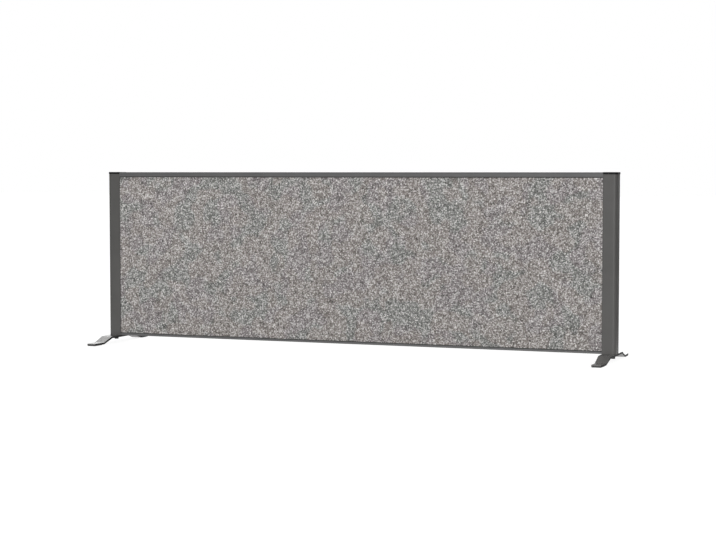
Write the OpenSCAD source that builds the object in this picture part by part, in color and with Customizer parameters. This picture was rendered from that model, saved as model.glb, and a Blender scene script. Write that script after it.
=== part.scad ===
// Acoustic divider screen for a desk: a felt panel in an aluminium frame on two flat feet.
// Origin at the middle of the footprint, on the table. X runs along the screen,
// Y through it with the front towards -Y, and Z up. All lengths are in millimetres.

/* [Screen] */
// Width over the two posts
screen_w = 1600; // [1000:10:2000]
// Height from the table to the top of the post caps
screen_h = 527; // [350:1:700]
// Height of the frame's underside above the table
frame_gap = 21.5; // [17.5:0.5:30]

/* [Posts] */
// Width of a post, as seen from the front
post_w = 40; // [38:1:60]
// Wall thickness of the post extrusion
post_wall = 2.5; // [2:0.5:4]
// Radius of the post's two outer corners
post_corner_r = 10; // [4:0.5:12]
// Radius of the post's two edges beside the felt
post_edge_r = 1; // [0.5:0.25:2]
// Depth of the groove that takes the boards' ends
groove_depth = 12; // [10:0.5:14]
// Radius of the round screw port inside the post
port_r = 7; // [6:0.25:8]
// Thickness of the two ribs that hold the screw port
rib_t = 2.5; // [1.5:0.5:4]

/* [Post caps] */
// Thickness of a cap above the post
cap_h = 6; // [4:0.5:10]
// How far a cap stands out past the post
cap_lip = 1; // [0.5:0.25:2]
// Chamfer round the top of a cap
cap_chamfer = 0.8; // [0.4:0.2:2]
// Length of the pegs that push into the post
peg_h = 12; // [6:1:30]
// Play between a peg and the walls round it
peg_play = 0.25; // [0.2:0.05:0.5]

/* [Rails] */
// Wall thickness of both rail extrusions
rail_wall = 2; // [1.5:0.5:3]
// Height of the top rail's hollow box
box_h = 9; // [8:0.5:20]
// Radius of the top rail's two upper edges
box_edge_r = 4.5; // [2.5:0.5:6]
// How far the top rail lies below the top of the caps
box_drop = 0.5; // [0:0.25:2]
// Height of the lips that hold the boards, from the web to the edge
lip_h = 4.1; // [3.5:0.1:8]

/* [Panel] */
// Thickness of each felt board
felt_t = 9; // [6:0.5:14]
// Thickness of each absorber mat
absorber_t = 8; // [8:0.5:14]
// Thickness of the core board
core_t = 4; // [3:0.5:8]
// Play between the boards' edges and the webs
board_play = 0.5; // [0.5:0.25:2]
// Play between the inner layers and the screw heads
layer_play = 1; // [0.5:0.25:4]

/* [Seals] */
// Height of the seal that shows beside a rail's lip
seal_h = 2.4; // [1.5:0.1:5]
// Thickness of the seal that shows
seal_t = 1.6; // [1:0.1:2]
// Thickness of the seal's tongue between lip and felt
tongue_t = 0.5; // [0.5:0.1:1]

/* [Corner brackets] */
// Width of a bracket
bracket_w = 18; // [12:1:18]
// Thickness of a bracket
bracket_t = 3; // [2:0.5:4]
// Distance from the rail's end to the first screw
screw_margin = 9; // [7:0.5:14]
// Distance between the two screws of a leg
screw_pitch = 12; // [10.5:0.5:20]

/* [Bracket screws] */
// Diameter of the screw thread
screw_d = 5; // [3:0.5:6]
// Diameter of the screw head
screw_head_d = 9.5; // [8:0.5:10]
// Height of the screw head
screw_head_h = 3; // [2:0.25:4]
// How far a screw reaches past the post's web or the top rail's web
screw_tail = 2.5; // [1:0.5:3]
// Width across the flats of the screw's socket
screw_key = 3; // [2:0.5:4]

/* [Feet] */
// Length of a foot from tip to tip
foot_len = 336; // [280:2:500]
// Thickness of the foot's plate
foot_t = 6; // [3:0.5:8]
// Length of the flat crown, between its two bends
crown_len = 140; // [100:2:160]
// Distance between the two lower bends
slope_end_len = 232; // [210:2:260]
// Width of the foot at its tips
tip_w = 28; // [16:1:36]
// Radius of the bends at the middle of the plate
bend_r = 8; // [5:1:20]
// Radius of the corners of a tip
tip_corner_r = 3; // [1:0.5:6]

/* [Foot bolts] */
// Distance from the post's outer face to the bolt's axis
bolt_inset = 13; // [12:0.5:14]
// Diameter of the bolt's shank
bolt_d = 8; // [6:1:8]
// Length of the bolt under its head
bolt_len = 30; // [20:5:60]
// Diameter of the bolt's head
bolt_head_d = 13; // [10:0.5:16]
// Height of the bolt's head
bolt_head_h = 8; // [5:0.5:9]
// Width across the flats of the bolt's socket
bolt_key = 6; // [4:1:6]
// Depth of the bolt's socket
bolt_key_depth = 4; // [2:0.5:4]

/* [Glide pads] */
// Thickness of a pad
pad_t = 1; // [0.5:0.25:3]
// Length of a pad
pad_len = 40; // [20:1:45]
// How far a pad lies inside the tip's edges
pad_inset = 1; // [0.5:0.25:3]

/* [Hidden] */
$fn = 48;
// Overrun of a cut past the face it opens
cut = 1;
// Play round a screw or bolt in a plain hole
hole_play = 0.25;
// Play round a screw or bolt in the hole that holds its thread
thread_play = 0.1;
// Steps in each bend of a foot and in each corner of a tip
bend_steps = 6;
// Number of flats of a socket
key_flats = 6;

// The stack of boards, and the groove that holds it with a tongue on each side
panel_t = 2 * felt_t + 2 * absorber_t + core_t;
groove_w = panel_t + 2 * tongue_t;
post_d = groove_w + 2 * post_wall;
rail_d = groove_w + 2 * rail_wall;

// Levels of the frame
post_top = screen_h - cap_h;
rail_top = screen_h - box_drop;
top_web = rail_top - box_h;
bottom_web = frame_gap + rail_wall;
board_top = top_web - board_play;

// Places along the screen, from the middle outwards
rail_half = screen_w / 2 - post_w;
web_half = rail_half + groove_depth;
board_half = web_half - board_play;
bolt_x = screen_w / 2 - bolt_inset;
chamber_w = post_w - groove_depth - 2 * post_wall;

// The inner layers stop short of the brackets and their screw heads
layer_inset = bracket_t + screw_head_h + layer_play;
bracket_leg = groove_depth + 2 * screw_margin + screw_pitch;
screw_places = [groove_depth + screw_margin, groove_depth + screw_margin + screw_pitch];

// The foot's plate follows this line, half its thickness inside each face
crown_line = frame_gap - foot_t / 2;
tip_line = pad_t + foot_t / 2;
slope_angle = atan((crown_line - tip_line) / (slope_end_len / 2 - crown_len / 2));
bend_back = bend_r * tan(slope_angle / 2);
crown_under = frame_gap - foot_t;

// Puts a shape drawn outwards from the post's outer face (x = 0 there, x grows
// towards the panel) at one end of the screen: side is -1 on the left, 1 on the right
module at_post(side) {
    translate([side * screen_w / 2, 0, 0]) mirror([side > 0 ? 1 : 0, 0, 0]) children();
}

// Outline of a post grown by a margin: round outer corners, small edges at the felt
module post_outline(margin) {
    outer_r = post_corner_r + margin;
    half_d = post_d / 2 + margin;
    for (face = [-1, 1]) {
        translate([post_corner_r, face * (half_d - outer_r)]) circle(outer_r);
        translate([post_w - post_edge_r, face * (half_d - post_edge_r)]) circle(post_edge_r);
    }
    translate([-margin, -half_d + outer_r]) square([post_w + margin, 2 * (half_d - outer_r)]);
    translate([post_corner_r, -half_d]) square([post_w - post_corner_r - post_edge_r, 2 * half_d]);
    translate([post_corner_r, -half_d + post_edge_r])
        square([post_w - post_corner_r, 2 * (half_d - post_edge_r)]);
}

// Outline of the post's hollow chamber, drawn in by a margin
module chamber_outline(margin) {
    corner_r = max(post_corner_r - post_wall, post_edge_r);
    half_d = post_d / 2 - post_wall - margin;
    inner_r = corner_r - min(margin, post_edge_r / 2);
    start = post_wall + margin;
    translate([start + inner_r, -half_d]) square([chamber_w - 2 * margin - inner_r, 2 * half_d]);
    translate([start, -half_d + inner_r])
        square([chamber_w - 2 * margin, 2 * (half_d - inner_r)]);
    for (face = [-1, 1])
        translate([start + inner_r, face * (half_d - inner_r)]) circle(inner_r);
}

// A post: groove for the boards, hollow chamber, screw port on two ribs
module post(side) {
    port_bore_r = bolt_d / 2 + thread_play;
    at_post(side) difference() {
        translate([0, 0, frame_gap]) linear_extrude(post_top - frame_gap) {
            difference() {
                post_outline(0);
                translate([post_w - groove_depth, -groove_w / 2])
                    square([groove_depth + cut, groove_w]);
                chamber_outline(0);
            }
            translate([bolt_inset - rib_t / 2, -post_d / 2 + post_wall / 2])
                square([rib_t, post_d - post_wall]);
            translate([bolt_inset, 0]) circle(port_r);
        }
        translate([bolt_inset, 0, frame_gap - cut])
            cylinder(r = port_bore_r, h = post_top - frame_gap + 2 * cut);
        for (place = screw_places, height = [bottom_web + place, top_web - place])
            translate([post_w - groove_depth - post_wall - cut, 0, height]) rotate([0, 90, 0])
                cylinder(d = screw_d + 2 * thread_play, h = post_wall + 2 * cut);
    }
}

module left_post() { color("#55565a") post(-1); }
module right_post() { color("#55565a") post(1); }

// A post cap: chamfered plate, and four pegs that push into the post's chamber
module post_cap(side) {
    peg_start = port_r + peg_play;
    at_post(side) {
        translate([0, 0, post_top]) hull() {
            linear_extrude(cap_h - cap_chamfer) post_outline(cap_lip);
            linear_extrude(cap_h) post_outline(cap_lip - cap_chamfer);
        }
        translate([0, 0, post_top - peg_h]) linear_extrude(peg_h + cap_h / 2) difference() {
            chamber_outline(peg_play);
            translate([0, -peg_start]) square([post_w, 2 * peg_start]);
            translate([bolt_inset - rib_t / 2 - peg_play, -post_d / 2])
                square([rib_t + 2 * peg_play, post_d]);
        }
    }
}

module left_post_cap() { color("#1b1b1c") post_cap(-1); }
module right_post_cap() { color("#1b1b1c") post_cap(1); }

// Extrudes a section drawn in Y and Z along the screen, between the posts
module along_rails() {
    translate([-rail_half, 0, 0]) rotate([90, 0, 90]) linear_extrude(2 * rail_half) children();
}

// The screw holes that a rail's web has under its brackets
module web_holes(start) {
    for (side = [-1, 1], place = screw_places)
        translate([side * (web_half - place), 0, start - cut])
            cylinder(d = screw_d + 2 * thread_play, h = rail_wall + 2 * cut);
}

// Top rail: hollow box with rounded upper edges, and two lips down over the boards
module top_rail() {
    inner_r = box_edge_r - rail_wall;
    half_in = rail_d / 2 - rail_wall;
    color("#5b5c60") difference() {
        along_rails() difference() {
            union() {
                for (face = [-1, 1])
                    translate([face * (rail_d / 2 - box_edge_r), rail_top - box_edge_r])
                        circle(box_edge_r);
                translate([-rail_d / 2 + box_edge_r, rail_top - 2 * box_edge_r])
                    square([rail_d - 2 * box_edge_r, 2 * box_edge_r]);
                translate([-rail_d / 2, top_web - lip_h])
                    square([rail_d, box_h + lip_h - box_edge_r]);
            }
            translate([-half_in, top_web + rail_wall])
                square([2 * half_in, box_h - rail_wall - box_edge_r]);
            translate([-half_in + inner_r, top_web + rail_wall])
                square([2 * (half_in - inner_r), box_h - 2 * rail_wall]);
            for (face = [-1, 1])
                translate([face * (half_in - inner_r), rail_top - box_edge_r]) circle(inner_r);
            translate([-groove_w / 2, top_web - lip_h - cut]) square([groove_w, lip_h + cut]);
        }
        web_holes(top_web);
    }
}

// Bottom rail: shallow channel that opens upwards round the boards
module bottom_rail() {
    color("#5b5c60") difference() {
        along_rails() difference() {
            translate([-rail_d / 2, frame_gap]) square([rail_d, rail_wall + lip_h]);
            translate([-groove_w / 2, bottom_web]) square([groove_w, lip_h + cut]);
        }
        web_holes(frame_gap);
    }
}

// A rail's two seals: a tongue between lip and felt, and a bead that shows past the lip.
// web is the level of the rail's web, and up is 1 where the lips stand up from it
module rail_seals(web, up) {
    color("#2b2b2c") along_rails() for (face = [-1, 1])
        translate([0, web]) mirror([face < 0 ? 1 : 0, 0]) mirror([0, up < 0 ? 1 : 0])
            polygon([
                [panel_t / 2, board_play], [groove_w / 2, board_play],
                [groove_w / 2, lip_h], [panel_t / 2 + seal_t, lip_h],
                [panel_t / 2 + seal_t, lip_h + seal_h / 2], [panel_t / 2 + seal_t / 2, lip_h + seal_h],
                [panel_t / 2, lip_h + seal_h]
            ]);
}

module top_seal() { rail_seals(top_web, -1); }
module bottom_seal() { rail_seals(bottom_web, 1); }

// A board that lies between two depths, drawn in from the webs by an inset
module board(near, far, inset) {
    bottom = bottom_web + inset;
    top = inset > 0 ? top_web - inset : board_top;
    half = inset > 0 ? web_half - inset : board_half;
    translate([-half, near, bottom]) cube([2 * half, far - near, top - bottom]);
}

module front_felt() { color("#918e8c") board(-panel_t / 2, -panel_t / 2 + felt_t, 0); }
module rear_felt() { color("#918e8c") board(panel_t / 2 - felt_t, panel_t / 2, 0); }

module front_absorber() {
    color("#e4e2dc") board(-core_t / 2 - absorber_t, -core_t / 2, layer_inset);
}

module rear_absorber() {
    color("#e4e2dc") board(core_t / 2, core_t / 2 + absorber_t, layer_inset);
}

module core_board() { color("#8a6a48") board(-core_t / 2, core_t / 2, layer_inset); }

// Puts a shape at a corner where a rail's web meets a post's web: x grows towards
// the middle of the screen, z into the frame. level is -1 at the bottom, 1 at the top
module at_corner(side, level) {
    translate([side * web_half, 0, level < 0 ? bottom_web : top_web])
        mirror([side > 0 ? 1 : 0, 0, 0]) mirror([0, 0, level > 0 ? 1 : 0]) children();
}

// A corner bracket: steel angle with two plain holes in each leg
module bracket(side, level) {
    color("#a9abad") at_corner(side, level) difference() {
        translate([0, bracket_w / 2, 0]) rotate([90, 0, 0]) linear_extrude(bracket_w)
            polygon([
                [0, 0], [bracket_leg, 0], [bracket_leg, bracket_t], [2 * bracket_t, bracket_t],
                [bracket_t, 2 * bracket_t], [bracket_t, bracket_leg], [0, bracket_leg]
            ]);
        for (place = screw_places) {
            translate([place, 0, -cut])
                cylinder(d = screw_d + 2 * hole_play, h = bracket_t + 2 * cut);
            translate([-cut, 0, place]) rotate([0, 90, 0])
                cylinder(d = screw_d + 2 * hole_play, h = bracket_t + 2 * cut);
        }
    }
}

module top_left_bracket() { bracket(-1, 1); }
module top_right_bracket() { bracket(1, 1); }
module bottom_left_bracket() { bracket(-1, -1); }
module bottom_right_bracket() { bracket(1, -1); }

// A bracket screw that points down from its seat at z = 0
module bracket_screw(reach) {
    difference() {
        union() {
            translate([0, 0, -reach]) cylinder(d = screw_d, h = reach);
            cylinder(d = screw_head_d, h = screw_head_h);
        }
        translate([0, 0, screw_head_h / 2])
            cylinder(d = screw_key / cos(180 / key_flats), h = screw_head_h, $fn = key_flats);
    }
}

// The four screws of a corner. The lower ones end flush with the bottom rail's underside
module corner_screws(side, level) {
    rail_reach = bracket_t + rail_wall + (level > 0 ? screw_tail : 0);
    post_reach = bracket_t + post_wall + screw_tail;
    color("#c6c7c9") at_corner(side, level) for (place = screw_places) {
        translate([place, 0, bracket_t]) bracket_screw(rail_reach);
        translate([bracket_t, 0, place]) rotate([0, 90, 0]) bracket_screw(post_reach);
    }
}

module top_left_screws() { corner_screws(-1, 1); }
module top_right_screws() { corner_screws(1, 1); }
module bottom_left_screws() { corner_screws(-1, -1); }
module bottom_right_screws() { corner_screws(1, -1); }

// Half of one face of the foot's plate, from the crown to the tip: away is -1 towards
// the front and 1 towards the rear, and lift is 1 for the upper face and -1 for the lower
function foot_face(away, lift) = concat(
    [for (i = [0 : bend_steps])
        let (turn = slope_angle * i / bend_steps, r = bend_r + lift * foot_t / 2)
        [away * (crown_len / 2 - bend_back + r * sin(turn)), crown_line - bend_r + r * cos(turn)]],
    [for (i = [0 : bend_steps])
        let (turn = slope_angle * (1 - i / bend_steps), r = bend_r - lift * foot_t / 2)
        [away * (slope_end_len / 2 + bend_back - r * sin(turn)), tip_line + bend_r - r * cos(turn)]],
    [[away * foot_len / 2, tip_line + lift * foot_t / 2]]
);

function backwards(points) = [for (i = [len(points) - 1 : -1 : 0]) points[i]];

// Half width of the foot at a distance from its middle: straight sides under the
// post, then a taper to the tip
function foot_half_w(away) =
    tip_w / 2 + (post_w - tip_w) / 2 * (foot_len / 2 - away) / (foot_len / 2 - post_d / 2);

// One rounded corner of a tip, in plan
function tip_corner(across, away) = [for (i = [0 : bend_steps])
    let (turn = 90 * i / bend_steps)
    [across * (tip_w / 2 - tip_corner_r * (1 - cos(turn))),
     away * (foot_len / 2 - tip_corner_r * (1 - sin(turn)))]];

// The foot seen from above
module foot_plan() {
    polygon(concat(
        [[post_w / 2, -post_d / 2], [post_w / 2, post_d / 2]], tip_corner(1, 1),
        backwards(tip_corner(-1, 1)), [[-post_w / 2, post_d / 2], [-post_w / 2, -post_d / 2]],
        tip_corner(-1, -1), backwards(tip_corner(1, -1))
    ));
}

// A foot: one plate bent four times, with a plain hole for its bolt
module foot(side) {
    middle = side * (screen_w / 2 - post_w / 2);
    color("#606164") difference() {
        translate([middle, 0, 0]) intersection() {
            translate([-post_w / 2, 0, 0]) rotate([90, 0, 90]) linear_extrude(post_w)
                polygon(concat(
                    backwards(foot_face(-1, 1)), foot_face(1, 1),
                    backwards(foot_face(1, -1)), foot_face(-1, -1)
                ));
            linear_extrude(frame_gap + cut) foot_plan();
        }
        translate([side * bolt_x, 0, crown_under - cut])
            cylinder(d = bolt_d + 2 * hole_play, h = foot_t + 2 * cut);
    }
}

module left_foot() { foot(-1); }
module right_foot() { foot(1); }

// A socket-head bolt from below through the crown into the post's screw port
module foot_bolt(side) {
    color("#3a3a3c") translate([side * bolt_x, 0, crown_under]) difference() {
        union() {
            cylinder(d = bolt_d, h = bolt_len);
            translate([0, 0, -bolt_head_h]) cylinder(d = bolt_head_d, h = bolt_head_h);
        }
        translate([0, 0, -bolt_head_h - cut])
            cylinder(d = bolt_key / cos(180 / key_flats), h = bolt_key_depth + cut, $fn = key_flats);
    }
}

module left_foot_bolt() { foot_bolt(-1); }
module right_foot_bolt() { foot_bolt(1); }

// A pad glued under one tip, with the tip's own taper
module pad(side, away) {
    far = foot_len / 2 - pad_inset;
    near = far - pad_len;
    color("#1d1d1e") translate([side * (screen_w / 2 - post_w / 2), 0, 0])
        linear_extrude(pad_t) polygon([
            [-foot_half_w(near) + pad_inset, away * near], [foot_half_w(near) - pad_inset, away * near],
            [foot_half_w(far) - pad_inset, away * far], [-foot_half_w(far) + pad_inset, away * far]
        ]);
}

module left_front_pad() { pad(-1, -1); }
module left_rear_pad() { pad(-1, 1); }
module right_front_pad() { pad(1, -1); }
module right_rear_pad() { pad(1, 1); }

left_post();
right_post();
left_post_cap();
right_post_cap();
top_rail();
bottom_rail();
top_seal();
bottom_seal();
front_felt();
rear_felt();
front_absorber();
rear_absorber();
core_board();
top_left_bracket();
top_right_bracket();
bottom_left_bracket();
bottom_right_bracket();
top_left_screws();
top_right_screws();
bottom_left_screws();
bottom_right_screws();
left_foot();
right_foot();
left_foot_bolt();
right_foot_bolt();
left_front_pad();
left_rear_pad();
right_front_pad();
right_rear_pad();
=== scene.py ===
import math
import bpy
import numpy as np
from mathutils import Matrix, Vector
from mathutils.geometry import delaunay_2d_cdt


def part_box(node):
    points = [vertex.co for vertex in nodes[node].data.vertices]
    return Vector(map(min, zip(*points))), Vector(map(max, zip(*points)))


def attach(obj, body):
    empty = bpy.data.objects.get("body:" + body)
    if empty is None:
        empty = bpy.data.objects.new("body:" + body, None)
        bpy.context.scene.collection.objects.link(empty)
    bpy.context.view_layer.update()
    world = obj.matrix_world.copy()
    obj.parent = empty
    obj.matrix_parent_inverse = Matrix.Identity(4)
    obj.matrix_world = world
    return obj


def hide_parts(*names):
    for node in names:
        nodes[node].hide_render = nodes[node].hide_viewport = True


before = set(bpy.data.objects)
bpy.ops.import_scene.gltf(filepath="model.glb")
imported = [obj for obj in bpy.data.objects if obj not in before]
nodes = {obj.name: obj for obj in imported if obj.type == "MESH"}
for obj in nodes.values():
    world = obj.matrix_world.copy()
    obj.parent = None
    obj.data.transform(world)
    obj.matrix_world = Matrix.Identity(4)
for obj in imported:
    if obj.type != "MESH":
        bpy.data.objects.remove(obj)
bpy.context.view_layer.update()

# Camera: it stands to the right of the screen at the height of its top edge, and looks
# a little down. Its lens, place and turn come from a fit of the photograph's corners.
lens_mm = 86.14
camera_place = (1.8658, -4.6853, 0.5300)
camera_turn = math.radians(21.466)
camera_dip = math.radians(3.307)

camera_data = bpy.data.cameras.new("camera")
camera_data.lens = lens_mm
camera_data.sensor_width = 36.0
camera = bpy.data.objects.new("camera", camera_data)
camera.location = camera_place
camera.rotation_euler = (math.pi / 2 - camera_dip, 0.0, camera_turn)
bpy.context.scene.collection.objects.link(camera)
bpy.context.scene.camera = camera

# Core board: a 4 mm sheet of hard fibreboard in the middle of the stack, sawn to size.
# It blocks the sound and keeps the softer boards flat, and nothing fixes it but the
# pressure of the mats on both sides.
fibreboard_brown = (0.240, 0.150, 0.085, 1.0)
fibreboard_dark = (0.150, 0.088, 0.046, 1.0)
fibreboard_flake = 0.0035


def add_node(tree, kind, inputs=None, **settings):
    """Adds one shader node. The settings are its own properties, and inputs gives each
    socket, by name or by number, a plain value or the socket that feeds it."""
    made = tree.nodes.new("ShaderNode" + kind)
    for key, value in settings.items():
        setattr(made, key, value)
    for key, value in (inputs or {}).items():
        if isinstance(value, bpy.types.NodeSocket):
            tree.links.new(value, made.inputs[key])
        else:
            made.inputs[key].default_value = value
    return made


def maths(tree, operation, *values):
    """The output of one Math node. Each value is a number or a socket."""
    return add_node(tree, "Math", dict(enumerate(values)), operation=operation).outputs[0]


def mixed(tree, share, first, second):
    """A colour between two colours: the first at share 0 and the second at share 1."""
    return add_node(tree, "Mix", {0: share, 6: first, 7: second}, data_type="RGBA").outputs[2]


def ramped(tree, value, low, high, low_to=0.0, high_to=1.0):
    """A value moved from the range low to high onto another range, and held inside it."""
    inputs = {0: value, 1: low, 2: high, 3: low_to, 4: high_to}
    return add_node(tree, "MapRange", inputs).outputs[0]


def noise(tree, place, size, detail=2.0, roughness=0.5, distortion=0.0):
    """Cloudy noise from 0 to 1 whose largest lumps are about size metres across."""
    inputs = {"Vector": place, "Scale": 1.0 / size, "Detail": detail,
              "Roughness": roughness, "Distortion": distortion}
    return add_node(tree, "TexNoise", inputs).outputs[0]


def new_finish(name, constants):
    """A material with a bare Principled BSDF, whose constant sockets are set by name.
    Gives the material, its node tree and the Object coordinates."""
    material = bpy.data.materials.new(name)
    material.use_nodes = True
    tree = material.node_tree
    for key, value in constants.items():
        tree.nodes["Principled BSDF"].inputs[key].default_value = value
    return material, tree, add_node(tree, "TexCoord").outputs["Object"]


def surfaced(material, colour, height, depth, strength=1.0, roughness=None):
    """Feeds the material's shader a colour, a bump of the given depth from a height and,
    unless it is constant, a roughness. Gives the material."""
    tree = material.node_tree
    bump = add_node(tree, "Bump", {"Height": height, "Distance": depth, "Strength": strength})
    for label, socket in (("Base Color", colour), ("Normal", bump.outputs[0]), ("Roughness", roughness)):
        if socket is not None:
            tree.links.new(socket, tree.nodes["Principled BSDF"].inputs[label])
    return material


def fibreboard():
    """Pressed wood fibre: brown, with short darker flakes and a slightly rough face."""
    material, tree, place = new_finish("core_fibreboard", {"Roughness": 0.72})
    flakes = noise(tree, place, fibreboard_flake, detail=4.0, roughness=0.62)
    clouds = noise(tree, place, 12 * fibreboard_flake)
    tone = ramped(tree, maths(tree, "ADD", flakes, maths(tree, "MULTIPLY", clouds, 0.4)), 0.45, 0.95)
    return surfaced(material, mixed(tree, tone, fibreboard_dark, fibreboard_brown), flakes, 0.0002, 0.6)


def dress(node, material):
    """Gives a CAD node its finish and leaves its shape alone."""
    nodes[node].data.materials.clear()
    nodes[node].data.materials.append(material)


dress("core_board", fibreboard())

# Absorber mats: two mats of pressed white wadding, cut to the core board's outline.
# They fill the space between core and felt and damp the sound. The core and the felt
# hold them by light pressure, so their faces are flat and only their edges bulge.
mat_edge_radius = 0.0035
mat_spacing = 0.012
mat_dip = 0.0006
mat_wave = (0.030, 0.120)
wadding_tuft = 0.014
wadding_strand = 0.009
wadding_hair = 0.0026
wadding_white = (0.78, 0.76, 0.70, 1.0)
# Painted shade: the darker colour in the hollows between the tufts.
wadding_painted_shade = (0.60, 0.57, 0.50, 1.0)


def rounded(corners, radii, steps=8, hold=0.0003):
    """A closed outline with round corners. Each corner becomes an arc of its own radius
    that touches both sides, and a holding point on each side of the arc, close beside
    it, keeps the shading of the flat sides flat."""
    corner = np.asarray(corners, float)
    radius = np.broadcast_to(np.asarray(radii, float), len(corner))[:, None]
    back = np.roll(corner, 1, 0) - corner
    ahead = np.roll(corner, -1, 0) - corner
    back /= np.linalg.norm(back, axis=1, keepdims=True)
    ahead /= np.linalg.norm(ahead, axis=1, keepdims=True)
    half = np.arccos(np.clip((back * ahead).sum(1, keepdims=True), -1.0, 1.0)) / 2
    reach = radius / np.tan(half)
    inward = (back + ahead) / np.linalg.norm(back + ahead, axis=1, keepdims=True)
    middle = corner + inward * radius / np.sin(half)
    start = corner + back * reach - middle
    stop = corner + ahead * reach - middle
    first = np.arctan2(start[:, 1], start[:, 0])[:, None]
    turn = np.arctan2(stop[:, 1], stop[:, 0])[:, None] - first
    turn = (turn + np.pi) % (2 * np.pi) - np.pi
    angle = first + turn * np.linspace(0.0, 1.0, steps)
    arcs = middle[:, None] + radius[:, None] * np.stack([np.cos(angle), np.sin(angle)], 2)
    hold = np.minimum(hold, radius / 4)
    before = corner + back * (reach + hold)
    after = corner + ahead * (reach + hold)
    return np.concatenate([before[:, None], arcs, after[:, None]], 1).reshape(-1, 2)


def drawn_in(outline, distance):
    """The outline moved into the material by a distance, square to its own sides. The
    outline runs anticlockwise round material and clockwise round a hole."""
    ahead = np.roll(outline, -1, 0) - outline
    ahead /= np.linalg.norm(ahead, axis=1, keepdims=True)
    outward = np.stack([ahead[:, 1], -ahead[:, 0]], 1)
    mean = outward + np.roll(outward, 1, 0)
    return outline - distance * mean / np.maximum(0.5, (mean * mean).sum(1, keepdims=True) / 2)


def end_stations(start, stop, radius, steps=4):
    """Places along a carried solid, each with the distance that its outline is drawn in
    there: a quarter circle of the given radius at both ends, with holding places. The
    radius is at most two thirds of that of the outline's own outer corners."""
    turn = np.linspace(0.0, np.pi / 2, steps)
    place = np.concatenate([[0.0], radius * (1 - np.cos(turn)), [1.5 * radius]])
    inset = np.concatenate([[1.5 * radius], radius * (1 - np.sin(turn)), [0.0]])
    first = np.stack([start + place, inset], 1)
    last = np.stack([stop - place, inset], 1)[::-1]
    return np.concatenate([first, last])


def shaded(mesh):
    """Smooth shading, but sharp where faces meet at more than 35 degrees."""
    mesh.polygons.foreach_set("use_smooth", np.ones(len(mesh.polygons), bool))
    mesh.set_sharp_from_angle(angle=math.radians(35.0))


def mesh_piece(name, points, faces, material):
    """An object in the scene from points and faces, with its finish."""
    mesh = bpy.data.meshes.new(name)
    mesh.from_pydata(points.tolist(), [], faces)
    shaded(mesh)
    mesh.materials.append(material)
    piece = bpy.data.objects.new(name, mesh)
    bpy.context.scene.collection.objects.link(piece)
    return piece


def turning(outline):
    """Twice the area inside an outline: positive where it runs anticlockwise."""
    ahead = np.roll(outline, -1, 0)
    return (outline[:, 0] * ahead[:, 1] - outline[:, 1] * ahead[:, 0]).sum()


def carried(outlines, stations, along):
    """Points and faces of a solid that outlines make when they are carried along an axis
    (0 for X, 1 for Y, 2 for Z). At each station every outline is drawn in by that
    station's distance. The first and last stations are filled with the Delaunay
    triangles that lie in an odd number of outlines, so a hole stays open. An outline's
    two coordinates are those of the next two axes in turn."""
    counts = [len(outline) for outline in outlines]
    starts = np.cumsum([0] + counts[:-1])
    total = sum(counts)
    rings = np.stack([np.concatenate([drawn_in(o, inset) for o in outlines])
                      for inset in stations[:, 1]])
    points = np.zeros((len(stations), total, 3))
    points[:, :, along] = stations[:, :1]
    points[:, :, (along + 1) % 3] = rings[:, :, 0]
    points[:, :, (along + 2) % 3] = rings[:, :, 1]
    here = np.arange(total)
    following = np.concatenate([s + (np.arange(c) + 1) % c for s, c in zip(starts, counts)])
    ring = np.arange(len(stations) - 1)[:, None] * total
    walls = np.stack([ring + here, ring + following, ring + total + following, ring + total + here], 2)
    faces = walls.reshape(-1, 4).tolist()
    flat = np.concatenate(outlines)
    loops = [list(range(s, s + c)) for s, c in zip(starts, counts)]
    loops = [loop if turning(flat[loop]) > 0 else loop[::-1] for loop in loops]
    found = delaunay_2d_cdt([Vector(point) for point in flat.tolist()], [], loops, 1, 1e-9)
    given = np.array([first[0] for first in found[3]])
    inside = np.array([len(within) % 2 == 1 for within in found[5]])
    fill = given[np.array(found[2])[inside]]
    faces += fill[:, ::-1].tolist() + (fill + (len(stations) - 1) * total).tolist()
    return points.reshape(-1, 3), faces


def divided(outline, spacing):
    """The outline with its long sides divided into steps of about the given spacing."""
    ahead = np.roll(outline, -1, 0)
    steps = np.maximum(1, np.round(np.linalg.norm(ahead - outline, axis=1) / spacing).astype(int))
    side = np.repeat(np.arange(len(outline)), steps)
    share = (np.arange(len(side)) - np.repeat(np.cumsum(steps) - steps, steps)) / steps[side]
    return outline[side] + share[:, None] * (ahead[side] - outline[side])


def ripple(x, z, waves, seed):
    """A gentle unevenness from 0 to 1 over a face: the mean of forty sine waves that run
    in all directions, with lengths between the two that waves gives."""
    draw = np.random.default_rng(seed)
    length = waves[0] * (waves[1] / waves[0]) ** draw.random(40)
    heading = draw.random(40) * 2 * np.pi
    phase = draw.random(40) * 2 * np.pi
    turns = (x[:, None] * np.cos(heading) + z[:, None] * np.sin(heading)) / length
    return np.clip(0.5 + np.sin(2 * np.pi * turns + phase).sum(1) / 22, 0.0, 1.0)


def soft_board(node, edge_radius, spacing, dip, waves, seed):
    """Points and faces of a board in a node's box: its section in Y and Z has rounded
    edges and is carried along X in fine steps. The ripple times dip then moves each
    point towards the board's middle plane."""
    low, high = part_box(node)
    corners = [(low.y, low.z), (high.y, low.z), (high.y, high.z), (low.y, high.z)]
    section = divided(rounded(corners, edge_radius, steps=5), spacing)
    ends = end_stations(low.x, high.x, 0.6 * edge_radius)
    half = len(ends) // 2
    run = np.linspace(ends[half - 1, 0], ends[half, 0], round((high.x - low.x) / spacing))[1:-1]
    middle = np.stack([run, np.zeros(len(run))], 1)
    points, faces = carried([section], np.concatenate([ends[:half], middle, ends[half:]]), along=0)
    side = np.sign(points[:, 1] - (low.y + high.y) / 2)
    points[:, 1] -= side * dip * ripple(points[:, 0], points[:, 2] + side * 3.7, waves, seed)
    return points, faces


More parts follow.
